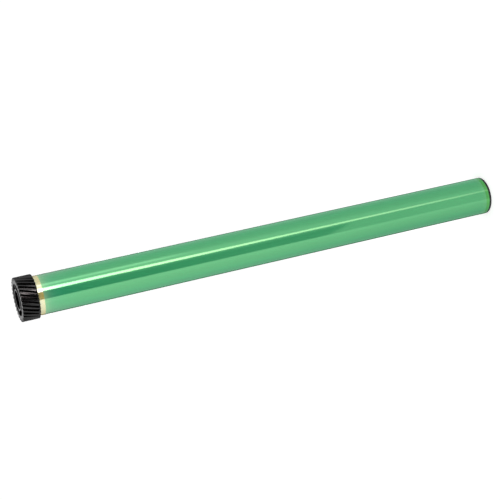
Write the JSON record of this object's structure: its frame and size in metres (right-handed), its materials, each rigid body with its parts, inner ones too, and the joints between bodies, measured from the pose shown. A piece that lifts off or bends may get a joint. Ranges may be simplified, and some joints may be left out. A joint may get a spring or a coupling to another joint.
{
  "type": "printer photoconductor drum",
  "caption": "Green-coated photoconductor drum of a laser printer: a long tube with a black helical drive gear flange at one end and a plain black end flange at the other.",
  "frame": {"origin": "centre of the outer face of the plain end flange, on which the drum stands", "axes": "+Z along the drum's axis, from the plain end to the gear; +X through a rib of the gear's web"},
  "size_m": [0.0336, 0.0336, 0.3946],
  "materials": {
    "drum_coat": "glossy green photoconductor coat on turned aluminium, cream where it stops short of the gear",
    "black_plastic": "moulded black acetal with a soft gloss",
    "spring_sheet": "bright stamped spring sheet"
  },
  "bodies": {
    "root": {"drum_tube": "drum_coat", "drive_gear": "black_plastic", "end_flange": "black_plastic", "ground_plate": "spring_sheet"}
  },
  "joints": []
}
